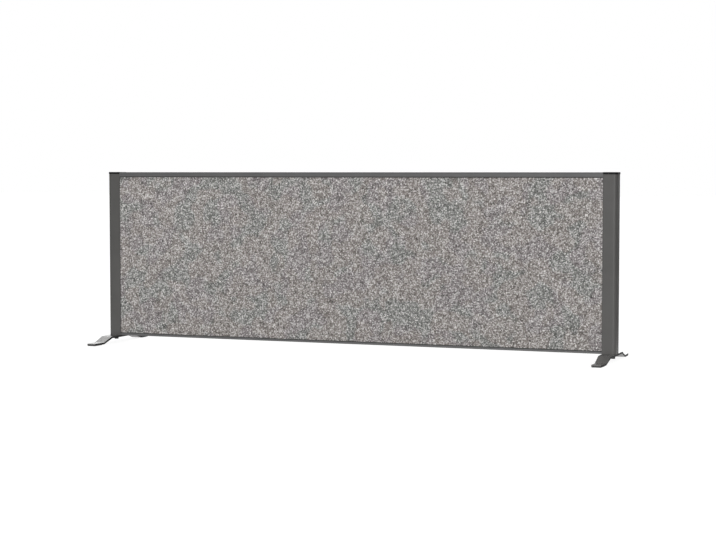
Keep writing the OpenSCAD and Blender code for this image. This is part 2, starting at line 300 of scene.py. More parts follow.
def new_group(name, inputs, outputs):
    """An empty shader node group with its inputs, each named with its kind, and its
    outputs, which are values. Gives the group, its inputs by name and its output node."""
    group = bpy.data.node_groups.new(name, "ShaderNodeTree")
    for label, kind in inputs.items():
        group.interface.new_socket(label, in_out="INPUT", socket_type="NodeSocket" + kind)
    for label in outputs:
        group.interface.new_socket(label, in_out="OUTPUT", socket_type="NodeSocketFloat")
    entry = group.nodes.new("NodeGroupInput")
    return group, entry.outputs, group.nodes.new("NodeGroupOutput")


def shifted(tree, place, by):
    """The place moved by a fixed distance, so that two noises of one size differ."""
    return add_node(tree, "VectorMath", {0: place, 1: by}, operation="ADD").outputs[0]


def weighted(tree, *pairs):
    """The sum of values that each come with their own weight."""
    total = 0.0
    for value, weight in pairs:
        total = maths(tree, "MULTIPLY_ADD", value, weight, total)
    return total


def felted_fibres():
    """Node group for matted fibres. Strands are the thin bands where a cloudy noise
    crosses its middle value, so they wander and cross as real fibres do. Tufts are the
    lumps that they form together, and hairs are the single fibres seen from close by."""
    group, given, result = new_group(
        "felted_fibres",
        {"Place": "Vector", "Tuft": "Float", "Strand": "Float", "Hair": "Float"},
        ["Tufts", "Light strands", "Dark strands", "Light hairs", "Dark hairs", "Height"])

    def lumps(size, shift, detail):
        """Cloudy noise at the shifted place, with lumps of the named size."""
        moved = shifted(group, given["Place"], shift)
        inputs = {"Vector": moved, "Scale": maths(group, "DIVIDE", 1.0, given[size]),
                  "Detail": detail, "Roughness": 0.55, "Distortion": 0.35}
        return add_node(group, "TexNoise", inputs).outputs[0]

    def strands(size, *shifts):
        """1 where a noise is at its middle value, at the one shift or at either of two."""
        masks = []
        for shift in shifts:
            from_middle = maths(group, "SUBTRACT", lumps(size, shift, 1.0), 0.5)
            masks.append(ramped(group, maths(group, "ABSOLUTE", from_middle), 0.0, 0.045, 1.0, 0.0))
        return maths(group, "MAXIMUM", masks[0], masks[-1])

    tufts = lumps("Tuft", (0.0, 0.0, 0.0), 2.0)
    light = strands("Strand", (3.1, 0.7, 1.9), (7.3, 2.9, 5.1))
    dark = strands("Strand", (1.7, 4.3, 8.7), (9.1, 6.7, 0.3))
    light_hairs = strands("Hair", (5.7, 1.3, 2.1), (0.9, 8.3, 4.7))
    dark_hairs = strands("Hair", (6.1, 3.7, 9.5))
    height = weighted(group, (tufts, 1.0), (light, 0.25), (dark, -0.25), (light_hairs, 0.16))
    for output, value in zip(result.inputs, (tufts, light, dark, light_hairs, dark_hairs, height)):
        group.links.new(value, output)
    return group


fibre_group = felted_fibres()


def wadding():
    """White wadding: painted shade between the tufts, and fine strands on its face."""
    constants = {"Roughness": 0.95, "Sheen Weight": 0.3, "Specular IOR Level": 0.2}
    material, tree, place = new_finish("absorber_wadding", constants)
    sizes = {"Place": place, "Tuft": wadding_tuft, "Strand": wadding_strand, "Hair": wadding_hair}
    fibres = add_node(tree, "Group", sizes, node_tree=fibre_group).outputs
    # Painted shade where the tufts are low, lightened again by the light strands.
    shade = maths(tree, "MAXIMUM", ramped(tree, fibres["Tufts"], 0.35, 0.62), fibres["Light strands"])
    return surfaced(material, mixed(tree, shade, wadding_painted_shade, wadding_white), fibres["Height"], 0.0012)


wadding_finish = wadding()
for side in ("front", "rear"):
    points, faces = soft_board(
        side + "_absorber", mat_edge_radius, mat_spacing, mat_dip, mat_wave, seed=11)
    mat = mesh_piece(side + "_absorber_mat", points, faces, wadding_finish)
    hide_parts(side + "_absorber")
    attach(mat, "root")

# Felt boards: two boards of recycled polyester fibre in light, dark and warm greys,
# pressed to 9 mm and cut square. They slide into the grooves of the frame.
felt_edge_radius = 0.0008
felt_spacing = 0.005
felt_dip = 0.0003
felt_wave = (0.018, 0.090)
felt_tuft = 0.0043
felt_strand = 0.0052
felt_hair = 0.0021
felt_blotch = 0.020
felt_tint = 0.090
felt_warmth = 0.062
felt_fleck = 0.0042
felt_tufting = 3.8
felt_blotching = 0.85
felt_pink = (0.1812, 0.1572, 0.1605, 1.0)
felt_green = (0.1490, 0.1554, 0.1446, 1.0)
felt_straw = (0.2130, 0.1825, 0.1645, 1.0)
felt_black = (0.046, 0.044, 0.042, 1.0)
felt_white = (0.845, 0.830, 0.816, 1.0)


def felt():
    """Melange felt in three close tints that change every few centimetres. Tufts and
    softer blotches, each less a half and times its weight, add up to an unevenness that
    lightens above 0 and darkens below it, and strands, hairs and flecks come on top."""
    constants = {"Roughness": 0.93, "Sheen Weight": 0.15, "Specular IOR Level": 0.15}
    material, tree, place = new_finish("grey_felt", constants)
    sizes = {"Place": place, "Tuft": felt_tuft, "Strand": felt_strand, "Hair": felt_hair}
    fibres = add_node(tree, "Group", sizes, node_tree=fibre_group).outputs
    blotch = noise(tree, place, felt_blotch, detail=1.0)
    pink = ramped(tree, noise(tree, place, felt_tint, detail=1.0), 0.47, 0.53)
    warm = noise(tree, shifted(tree, place, (2.3, 5.9, 1.1)), felt_warmth, detail=1.0)
    warm = ramped(tree, warm, 0.475, 0.535, 0.0, 0.85)
    tint = mixed(tree, warm, mixed(tree, pink, felt_green, felt_pink), felt_straw)
    level = -0.5 * (felt_tufting + felt_blotching)
    uneven = weighted(tree, (fibres["Tufts"], felt_tufting), (blotch, felt_blotching), (1.0, level))
    flecks = noise(tree, shifted(tree, place, (4.1, 1.3, 6.7)), felt_fleck, detail=1.0)
    lighter = weighted(
        tree, (fibres["Light strands"], 0.20), (fibres["Light hairs"], 0.08),
        (ramped(tree, flecks, 0.58, 0.70), 1.05), (maths(tree, "MAXIMUM", uneven, 0.0), 0.70))
    darker = weighted(
        tree, (fibres["Dark strands"], 0.26), (fibres["Dark hairs"], 0.18),
        (maths(tree, "MINIMUM", uneven, 0.0), -0.80))
    colour = mixed(tree, darker, mixed(tree, lighter, tint, felt_white), felt_black)
    return surfaced(material, colour, fibres["Height"], 0.0006, 0.7)


felt_finish = felt()
for side in ("front", "rear"):
    points, faces = soft_board(
        side + "_felt", felt_edge_radius, felt_spacing, felt_dip, felt_wave, seed=23)
    board = mesh_piece(side + "_felt_board", points, faces, felt_finish)
    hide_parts(side + "_felt")
    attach(board, "root")

# Seals: charcoal rubber strips, one pair for each rail. A thin tongue fills the play
# between the rail's lip and the felt, and a round bead covers the felt's edge.
seal_tongue = 0.0005
seal_bead = 0.0016
seal_bead_height = 0.0024
seal_corner = 0.00018
seal_round = 0.00063
seal_end_radius = 0.0001
rubber_charcoal = (0.057, 0.056, 0.055, 1.0)
rubber_worn = (0.085, 0.083, 0.080, 1.0)
rubber_grain = 0.0009


def rubber(name, colour, worn):
    """Matt rubber: a fine even grain, and a paler bloom in large soft patches."""
    material, tree, place = new_finish(name, {"Roughness": 0.78, "Specular IOR Level": 0.3})
    grain = noise(tree, place, rubber_grain, detail=3.0)
    bloom = ramped(tree, noise(tree, place, 0.03, detail=3.0), 0.42, 0.75, 0.0, 0.45)
    roughness = ramped(tree, grain, 0.3, 0.7, 0.7, 0.86)
    return surfaced(material, mixed(tree, bloom, colour, worn), grain, 0.00008, 0.6, roughness)


def seal_sections(node):
    """The two sections of a seal in Y and Z: a tongue from the rail's web, and beyond
    the lip a bead that bulges away from the felt. The second mirrors the first."""
    low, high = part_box(node)
    up = 1.0 if node == "bottom_seal" else -1.0
    web, tip = (low.z, high.z) if up > 0 else (high.z, low.z)
    lip = tip - up * seal_bead_height
    felt_face = high.y - seal_bead
    corners = [(felt_face, web), (felt_face + seal_tongue, web), (felt_face + seal_tongue, lip),
               (high.y, lip), (high.y, tip), (felt_face, tip)]
    radii = [seal_corner] * 4 + [seal_round, seal_corner]
    way = 1 if up > 0 else -1
    rear = rounded(corners[::way], radii[::way], steps=6)
    return rear, (rear * (-1.0, 1.0))[::-1]


rubber_finish = rubber("seal_rubber", rubber_charcoal, rubber_worn)
for node in ("top_seal", "bottom_seal"):
    low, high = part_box(node)
    stations = end_stations(low.x, high.x, seal_end_radius)
    points, faces = carried(list(seal_sections(node)), stations, along=0)
    seal = mesh_piece(node + "_strip", points, faces, rubber_finish)
    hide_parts(node)
    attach(seal, "root")

# Rails: two aluminium extrusions with an anthracite powder coat, sawn to the length
# between the posts. The top one is a hollow box with round upper edges, and the bottom
# one a shallow channel. Each holds the boards between two lips.
rail_wall = 0.002
rail_box_height = 0.009
rail_box_radius = 0.0045
rail_lip_radius = 0.0006
rail_inner_radius = 0.0003
rail_end_radius = 0.0003
rail_hole_radius = 0.0026
rail_hole_insets = (0.009, 0.021)
rail_grey = (0.074, 0.074, 0.074, 1.0)
rail_pale = (0.150, 0.150, 0.150, 1.0)
coat_lump = 0.0011
coat_depth = 0.00003
coat_wear_radius = 0.0008


def coat_grain():
    """Node group for powder coat: the soft lumps that the powder leaves when it melts,
    and the faint mottling that goes with them."""
    group, given, result = new_group("coat_grain", {"Place": "Vector"}, ["Lumps", "Clouds"])
    lumps = noise(group, given["Place"], coat_lump, detail=1.5)
    clouds = noise(group, given["Place"], 0.06, detail=3.0)
    group.links.new(lumps, result.inputs["Lumps"])
    group.links.new(clouds, result.inputs["Clouds"])
    return group


def edge_wear():
    """Node group for handled edges: 1 where the surface turns within the given radius
    and 0 on flats, broken up by noise as real rubbing is."""
    group, given, result = new_group("edge_wear", {"Place": "Vector", "Radius": "Float"}, ["Mask"])
    soft = add_node(group, "Bevel", {"Radius": given["Radius"]}, samples=4).outputs[0]
    plain = add_node(group, "NewGeometry").outputs["Normal"]
    along = add_node(group, "VectorMath", {0: soft, 1: plain}, operation="DOT_PRODUCT").outputs["Value"]
    turned = ramped(group, along, 0.90, 0.998, 1.0, 0.0)
    patchy = ramped(group, noise(group, given["Place"], 0.008, detail=3.0), 0.35, 0.60)
    group.links.new(maths(group, "MULTIPLY", turned, patchy), result.inputs["Mask"])
    return group


grain_group = coat_grain()
wear_group = edge_wear()


def wear(tree, place, radius, share):
    """The mask of the handled edges, times the share of the paler colour that they show."""
    mask = add_node(tree, "Group", {"Place": place, "Radius": radius}, node_tree=wear_group).outputs[0]
    return maths(tree, "MULTIPLY", mask, share)


def powder_coat(name, colour, pale, roughness, constants):
    """Anthracite powder coat: one grey with a faint mottling of the paler one, which
    shows more where hands rub the edges."""
    material, tree, place = new_finish(name, constants)
    grain = add_node(tree, "Group", {"Place": place}, node_tree=grain_group).outputs
    mottle = ramped(tree, grain["Clouds"], 0.3, 0.7, 0.0, 0.16)
    rubbed = maths(tree, "MAXIMUM", mottle, wear(tree, place, coat_wear_radius, 0.5))
    matt = ramped(tree, grain["Lumps"], 0.3, 0.7, roughness - 0.04, roughness + 0.04)
    return surfaced(material, mixed(tree, rubbed, colour, pale), grain["Lumps"], coat_depth, roughness=matt)


def joined_or_cut(piece, tools, operation):
    """Joins other solids to a piece or cuts them out of it, and applies the result."""
    for tool in tools:
        modifier = piece.modifiers.new("tool", "BOOLEAN")
        modifier.operation = operation
        modifier.object = tool
        modifier.solver = "EXACT"
    graph = bpy.context.evaluated_depsgraph_get()
    result = bpy.data.meshes.new_from_object(piece.evaluated_get(graph))
    piece.modifiers.clear()
    plain = piece.data
    piece.data = result
    bpy.data.meshes.remove(plain)
    for tool in tools:
        bpy.data.objects.remove(tool)
    shaded(result)
    result.name = piece.name


def arc(middle, radius, first, last, steps):
    """Points on a circle round middle, from one angle to another."""
    turn = np.linspace(first, last, steps)
    return np.asarray(middle) + radius * np.stack([np.cos(turn), np.sin(turn)], 1)


def drill(middle, radius, low, high, material):
    """An upright round solid from low to high, to cut a hole with."""
    circle = arc(middle, radius, 0.0, 2 * np.pi, 33)[:-1]
    points, faces = carried([circle], np.array([[low, 0.0], [high, 0.0]]), along=2)
    return mesh_piece("drill", points, faces, material)


def rail_holes(node, level, material):
    """Drills for the four screw holes in a rail's web, two near each end."""
    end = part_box(node)[1].x
    places = [sign * (end - inset) for sign in (-1, 1) for inset in rail_hole_insets]
    return [drill((x, 0.0), rail_hole_radius, level - rail_wall, level + 2 * rail_wall, material)
            for x in places]


rail_finish = powder_coat("rail_coat", rail_grey, rail_pale, 0.48, {"Specular IOR Level": 0.8})
low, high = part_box("top_rail")
half = high.y
groove = half - rail_wall
web = high.z - rail_box_height
outer = rounded(
    [(-half, low.z), (-groove, low.z), (-groove, web), (groove, web),
     (groove, low.z), (half, low.z), (half, high.z), (-half, high.z)],
    [rail_lip_radius] + [rail_inner_radius] * 4 + [rail_lip_radius] + [rail_box_radius] * 2, steps=9)
hollow_radius = rail_box_radius - rail_wall
hollow = rounded(
    [(-groove, web + rail_wall), (-groove, high.z - rail_wall),
     (groove, high.z - rail_wall), (groove, web + rail_wall)],
    [rail_inner_radius, hollow_radius, hollow_radius, rail_inner_radius], steps=6)
points, faces = carried([outer, hollow], end_stations(low.x, high.x, rail_end_radius), along=0)
top_rail = mesh_piece("top_rail_extrusion", points, faces, rail_finish)
joined_or_cut(top_rail, rail_holes("top_rail", web, rail_finish), "DIFFERENCE")

low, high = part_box("bottom_rail")
web = low.z + rail_wall
channel = rounded(
    [(-half, low.z), (half, low.z), (half, high.z), (groove, high.z),
     (groove, web), (-groove, web), (-groove, high.z), (-half, high.z)],
    [rail_lip_radius] * 3 + [rail_inner_radius] * 4 + [rail_lip_radius], steps=6)
points, faces = carried([channel], end_stations(low.x, high.x, rail_end_radius), along=0)
bottom_rail = mesh_piece("bottom_rail_extrusion", points, faces, rail_finish)
joined_or_cut(bottom_rail, rail_holes("bottom_rail", low.z, rail_finish), "DIFFERENCE")
for rail, node in ((top_rail, "top_rail"), (bottom_rail, "bottom_rail")):
    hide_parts(node)
    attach(rail, "root")

# Corner brackets and their screws: zinc-plated steel angles inside the grooves, one at
# each corner, and four socket screws each. They join the rails to the posts.
zinc_bright = (0.56, 0.57, 0.58, 1.0)
zinc_dull = (0.36, 0.37, 0.39, 1.0)


def zinc(name, patch):
    """Zinc plate: patches of bright and dull crystals, and fine lines from rolling."""
    material, tree, place = new_finish(name, {"Metallic": 0.9})
    crystals = add_node(tree, "TexVoronoi", {"Vector": place, "Scale": 1.0 / patch}).outputs["Color"]
    crystals = add_node(tree, "SeparateColor", {0: crystals}).outputs[0]
    stretched = add_node(tree, "Mapping", {"Vector": place, "Scale": (1.0, 1.0, 14.0)}).outputs[0]
    lines = noise(tree, stretched, 0.004, detail=3.0)
    roughness = ramped(tree, crystals, 0.0, 1.0, 0.32, 0.5)
    colour = mixed(tree, crystals, zinc_dull, zinc_bright)
    return surfaced(material, colour, lines, 0.00004, roughness=roughness)


bracket_finish = zinc("bracket_zinc", 0.0030)
screw_finish = zinc("screw_zinc", 0.0012)
for level in ("top", "bottom"):
    for side in ("left", "right"):
        dress("%s_%s_bracket" % (level, side), bracket_finish)
        dress("%s_%s_screws" % (level, side), screw_finish)

# Posts: full-height aluminium extrusions with the same coat, a little darker. Each has
# a groove for the boards' ends, a hollow chamber with two round outer corners, and a
# screw port on two ribs, which takes the foot bolt and leaves room for the cap's pegs.
post_wall = 0.0025
post_corner_radius = 0.010
post_edge_radius = 0.001
post_groove_depth = 0.012
post_inner_radius = 0.0003
post_lip_radius = 0.0005
port_radius = 0.007
port_bore_radius = 0.0041
port_place = 0.013
port_rib = 0.0025
post_end_radius = 0.0003
post_grey = (0.067, 0.065, 0.062, 1.0)
post_pale = (0.130, 0.127, 0.122, 1.0)


def post_outlines(half_depth, width):
    """The section of the left post in X and Y, with x = 0 at its outer face: its outside
    with the groove, the two cells of its chamber and the bore of its screw port. Each
    cell is a rectangle with a bite that the round port takes out of one side."""
    groove = half_depth - post_wall
    floor = width - post_groove_depth
    outlines = [rounded(
        [(0.0, -half_depth), (width, -half_depth), (width, -groove), (floor, -groove),
         (floor, groove), (width, groove), (width, half_depth), (0.0, half_depth)],
        [post_corner_radius, post_edge_radius, post_lip_radius, post_inner_radius,
         post_inner_radius, post_lip_radius, post_edge_radius, post_corner_radius], steps=12)]
    rib = port_rib / 2
    lean = math.acos(rib / port_radius)
    small, large = post_inner_radius, post_corner_radius - post_wall
    for sign, wall, corner, middle in ((-1, post_wall, large, math.pi), (1, floor - post_wall, small, 0.0)):
        face = port_place + sign * rib
        cell = rounded([(face, sign * groove), (wall, sign * groove), (wall, -sign * groove),
                        (face, -sign * groove)], [small, corner, corner, small])
        bite = arc((port_place, 0.0), port_radius, middle - lean, middle + lean, 16)
        outlines.append(np.concatenate([cell, bite]))
    outlines.append(arc((port_place, 0.0), port_bore_radius, 0.0, 2 * np.pi, 33)[:-1])
    return outlines


def one_way(outline, way):
    """The outline in the order that runs anticlockwise (way 1) or clockwise (way -1)."""
    return outline if turning(outline) * way > 0 else outline[::-1]


post_finish = powder_coat("post_coat", post_grey, post_pale, 0.48, {"Specular IOR Level": 0.55})
for side, sign in (("left", -1.0), ("right", 1.0)):
    low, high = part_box(side + "_post")
    outer_face = low.x if sign < 0 else high.x
    outlines = post_outlines(high.y, high.x - low.x)
    placed = [one_way(o * (-sign, 1.0) + (outer_face, 0.0), 1.0 if i == 0 else -1.0)
              for i, o in enumerate(outlines)]
    points, faces = carried(placed, end_stations(low.z, high.z, post_end_radius), along=2)
    post = mesh_piece(side + "_post_extrusion", points, faces, post_finish)
    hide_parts(side + "_post")
    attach(post, "root")

# Post caps: black moulded caps. A plate with a rounded rim covers the post's end, and
# four pegs under it push into the post's chamber round the screw port.
cap_rim_radius = 0.0010
cap_under_radius = 0.0003
cap_plate = 0.006
cap_corner_radius = 0.011
cap_edge_radius = 0.002
cap_wear_radius = 0.0008
peg_play = 0.00025
peg_radius = 0.0006
cap_black = (0.0060, 0.0060, 0.0062, 1.0)
cap_grey = (0.020, 0.020, 0.021, 1.0)


def moulded_plastic():
    """Black plastic with a fine spark-eroded grain and a few faint scuffs."""
    material, tree, place = new_finish("cap_plastic", {"Specular IOR Level": 0.15})
    grain = noise(tree, place, 0.0006)
    scuffs = ramped(tree, noise(tree, place, 0.012, detail=5.0, roughness=0.65), 0.56, 0.72, 0.0, 0.5)
    rubbed = maths(tree, "MAXIMUM", scuffs, wear(tree, place, cap_wear_radius, 0.4))
    roughness = ramped(tree, grain, 0.3, 0.7, 0.42, 0.56)
    return surfaced(material, mixed(tree, rubbed, cap_black, cap_grey), grain, 0.00006, 0.7, roughness)


cap_finish = moulded_plastic()
for side, sign in (("left", -1.0), ("right", 1.0)):
    low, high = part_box(side + "_post_cap")
    post_low, post_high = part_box(side + "_post")
    under = high.z - cap_plate
    corner, edge = cap_corner_radius, cap_edge_radius
    radii = [corner, edge, edge, corner] if sign < 0 else [edge, corner, corner, edge]
    plate = rounded([(low.x, low.y), (high.x, low.y), (high.x, high.y), (low.x, high.y)], radii, steps=12)
    rim = end_stations(under, high.z, cap_rim_radius)
    base = end_stations(under, high.z, cap_under_radius)
    stations = np.concatenate([base[:len(base) // 2], rim[len(rim) // 2:]])
    points, faces = carried([plate], stations, along=2)
    cap = mesh_piece(side + "_post_cap_moulding", points, faces, cap_finish)
    outer_face = post_low.x if sign < 0 else post_high.x
    inner_wall = post_high.y - post_wall - peg_play
    near_port = port_radius + peg_play
    floor = post_high.x - post_low.x - post_groove_depth - post_wall - peg_play
    rib = port_rib / 2 + peg_play
    outer_cell = (post_wall + peg_play, port_place - rib, post_corner_radius - post_wall)
    pegs = []
    for start, stop, corner_radius in (outer_cell, (port_place + rib, floor, peg_radius)):
        for face in (-1.0, 1.0):
            corners = [(start, face * near_port), (stop, face * near_port),
                       (stop, face * inner_wall), (start, face * inner_wall)]
            outline = rounded(corners, [peg_radius] * 3 + [corner_radius], steps=6)
            outline = one_way(outline * (-sign, 1.0) + (outer_face, 0.0), 1.0)
            ends = end_stations(low.z, under + cap_plate / 2, 0.6 * peg_radius)
            points, faces = carried([outline], ends, along=2)
            pegs.append(mesh_piece("peg", points, faces, cap_finish))
    joined_or_cut(cap, pegs, "UNION")
    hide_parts(side + "_post_cap")
    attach(cap, "root")

# Feet: each is one strip of 6 mm steel plate, cut with a tapered outline, bent four
# times in a press and powder coated. The raised crown carries the post, and the tips
# lie flat. The post's bolt goes through a plain hole in the crown.
foot_plate = 0.006
foot_crown_length = 0.140
foot_slope_end_length = 0.232
foot_bend_radius = 0.008
foot_tip_width = 0.028
foot_tip_corner = 0.003
foot_edge_radius = 0.0008
foot_hole_radius = 0.00425
foot_grey = (0.138, 0.136, 0.132, 1.0)
foot_pale = (0.165, 0.162, 0.157, 1.0)
# Painted shade: the near-black on the feet's side edges and on the lower half of their tips' ends.
foot_edge_painted_shade = (0.006, 0.006, 0.006, 1.0)


def foot_line(half_length, crown_level, tip_level):
    """The middle line of the bent plate from its middle to a tip: for each length along
    the plate, the distance from the middle, the level and the slope. The slope turns
    evenly within each bend, and the place is the running sum of its cosine and sine."""
    run = (foot_slope_end_length - foot_crown_length) / 2
    slope = math.atan2(crown_level - tip_level, run)
    back = foot_bend_radius * math.tan(slope / 2)
    bend = foot_bend_radius * slope
    first = foot_crown_length / 2 - back
    second = first + bend + run / math.cos(slope) - 2 * back
    total = second + bend + half_length - foot_slope_end_length / 2 - back
    steps = 4000
    s = np.linspace(0.0, total, steps + 1)
    dip = slope * (np.clip((s - first) / bend, 0, 1) - np.clip((s - second) / bend, 0, 1))
    gone = [np.concatenate([[0.0], np.cumsum((rate[1:] + rate[:-1]) / 2) * total / steps])
            for rate in (np.cos(dip), np.sin(dip))]
    marks = [first, first + bend, second, second + bend]
    return s, gone[0], crown_level - gone[1], dip, marks


def foot_blank_stations(total, marks, straight_end):
    """Stations along half of the flat blank, from the middle to the tip: both ends of
    each bend with steps between them, the start of the taper, and the tip's corner."""
    bends = np.concatenate([np.linspace(marks[0], marks[1], 7), np.linspace(marks[2], marks[3], 7)])
    turn = np.linspace(0.0, np.pi / 2, 7)[1:-1]
    corner = total - foot_tip_corner * (1 - np.sin(turn))
    near = [total - 1.6 * foot_tip_corner, total - foot_tip_corner]
    hold = 0.0008
    holds = [marks[0] - hold, marks[1] + hold, marks[2] - hold, marks[3] + hold]
    plain = np.sort(np.concatenate([[0.0, straight_end], bends, holds, near, corner]))
    plain = plain[plain < total - 1.6 * foot_edge_radius]
    end = end_stations(0.0, total, 0.6 * foot_edge_radius)
    end = end[len(end) // 2:]
    return np.concatenate([np.stack([plain, np.zeros(len(plain))], 1), end])


def foot_half_width(away, half_length, half_crown, straight_end):
    """Half the width at a distance from the middle: full under the post, then an even
    taper to the tip, less what the tip's round corners take off its last stretch."""
    share = np.clip((half_length - away) / (half_length - straight_end), 0.0, 1.0)
    taper = foot_tip_width / 2 + (half_crown - foot_tip_width / 2) * share
    into = np.clip(foot_tip_corner - (half_length - away), 0.0, foot_tip_corner)
    return taper - (foot_tip_corner - np.sqrt(foot_tip_corner ** 2 - into ** 2))


def with_matt_edges_and_painted_shade(material, dark, matt):
    """Makes a coat matt on the plate's cut edges and darkens it there with painted shade:
    fully where the surface faces left or right, and at the tips' ends only on the lower
    half, as a painted contact shadow near the floor."""
    tree = material.node_tree
    shader = tree.nodes["Principled BSDF"]
    facing = add_node(tree, "SeparateXYZ", {0: add_node(tree, "NewGeometry").outputs["Normal"]}).outputs
    # Painted shade on the surfaces that face left or right.
    side = ramped(tree, maths(tree, "ABSOLUTE", facing["X"]), 0.45, 0.75)
    level = add_node(tree, "SeparateXYZ", {0: add_node(tree, "TexCoord").outputs["Object"]}).outputs["Z"]
    # Painted contact shadow: the lower half of the tips' ends, near the floor, is darkened.
    painted_contact_shade = ramped(tree, level, 0.6 * foot_plate, 0.8 * foot_plate, 0.85, 0.10)
    end = maths(tree, "MULTIPLY", ramped(tree, maths(tree, "ABSOLUTE", facing["Y"]), 0.60, 0.90), painted_contact_shade)
    edge = maths(tree, "MAXIMUM", side, end)
    coat = shader.inputs["Base Color"].links[0].from_socket
    tree.links.new(mixed(tree, edge, coat, dark), shader.inputs["Base Color"])
    sheen = shader.inputs["Roughness"].links[0].from_socket
    tree.links.new(ramped(tree, edge, 0.0, 1.0, sheen, matt), shader.inputs["Roughness"])
    return material


foot_finish = powder_coat("foot_coat", foot_grey, foot_pale, 0.24, {"IOR": 1.5})
# Painted shade on the feet's cut edges, which are also made matt.
foot_finish = with_matt_edges_and_painted_shade(foot_finish, foot_edge_painted_shade, 0.75)
for side, sign in (("left", -1.0), ("right", 1.0)):
    low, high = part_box(side + "_foot")
    post_low, post_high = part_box(side + "_post")
    middle_x = (low.x + high.x) / 2
    half_width = (high.x - low.x) / 2
    half_length = high.y
    half = foot_plate / 2
    s, away, level, dip, marks = foot_line(half_length, high.z - half, low.z + half)
    half_run = foot_blank_stations(s[-1], marks, post_high.y)
    stations = np.concatenate([half_run[:0:-1] * (-1.0, 1.0), half_run])
    section = rounded([(-half, -half_width), (half, -half_width), (half, half_width), (-half, half_width)],
                      foot_edge_radius, steps=5)
    points, faces = carried([section], stations, along=1)
    run = np.abs(points[:, 1])
    width = foot_half_width(np.interp(run, s, away), half_length, half_width, post_high.y)
    lift, slope = points[:, 2].copy(), np.interp(run, s, dip)
    edge = np.sign(points[:, 0]) * (half_width - np.abs(points[:, 0]))
    points[:, 0] = middle_x + np.sign(points[:, 0]) * width - edge
    points[:, 1] = np.sign(points[:, 1]) * (np.interp(run, s, away) + lift * np.sin(slope))
    points[:, 2] = np.interp(run, s, level) + lift * np.cos(slope)
    foot = mesh_piece(side + "_foot_plate", points, faces, foot_finish)
    bolt_x = post_low.x + port_place if sign < 0 else post_high.x - port_place
    hole = drill((bolt_x, 0.0), foot_hole_radius, high.z - 2 * foot_plate, high.z + foot_plate, foot_finish)
    joined_or_cut(foot, [hole], "DIFFERENCE")
    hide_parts(side + "_foot")
    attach(foot, "root")

# Foot bolts: M8 socket screws of blackened steel with a knurled head. Each goes up
# through the foot's crown into the post's screw port and clamps the foot.
bolt_radius = 0.004
bolt_thread_depth = 0.0004
bolt_thread_pitch = 0.00125
bolt_head_radius = 0.0065
bolt_head_height = 0.008
bolt_socket_half = 0.003
bolt_socket_depth = 0.004
bolt_rim = 0.0006
bolt_knurl_depth = 0.0002
bolt_chamfer = 0.0002
bolt_wear_radius = 0.0004
bolt_angles = 72
steel_black = (0.018, 0.018, 0.019, 1.0)
steel_bare = (0.060, 0.060, 0.062, 1.0)


def turned(heights, radii, middle):
    """Points and faces of a turned solid. Row by row it has a height, and a radius for
    each angle. The first and last rows are single points on the axis."""
    count = radii.shape[1]
    turn = np.linspace(0.0, 2 * np.pi, count, endpoint=False)
    rings = np.stack([middle[0] + radii * np.cos(turn), middle[1] + radii * np.sin(turn),
                      np.broadcast_to(heights[:, None], radii.shape)], 2)
    points = np.concatenate([rings[0, :1], rings[1:-1].reshape(-1, 3), rings[-1, :1]])
    here = np.arange(count)
    ahead = (here + 1) % count
    row = 1 + np.arange(len(heights) - 3)[:, None] * count
    walls = np.stack([row + here, row + ahead, row + count + ahead, row + count + here], 2).reshape(-1, 4)
    last = len(points) - 1
    bottom = np.stack([np.zeros(count, int), 1 + ahead, 1 + here], 1)
    top = np.stack([np.full(count, last), last - count + here, last - count + ahead], 1)
    return points, walls.tolist() + bottom.tolist() + top.tolist()


def black_steel():
    """Blackened steel: dark and slightly uneven, with bare metal on rubbed edges."""
    material, tree, place = new_finish("bolt_steel", {"Metallic": 0.35})
    clouds = noise(tree, place, 0.003, detail=4.0)
    patches = ramped(tree, clouds, 0.4, 0.8, 0.0, 0.4)
    rubbed = maths(tree, "MAXIMUM", wear(tree, place, bolt_wear_radius, 0.7), patches)
    roughness = ramped(tree, clouds, 0.3, 0.7, 0.34, 0.5)
    colour = mixed(tree, rubbed, steel_black, steel_bare)
    return surfaced(material, colour, clouds, 0.00004, roughness=roughness)


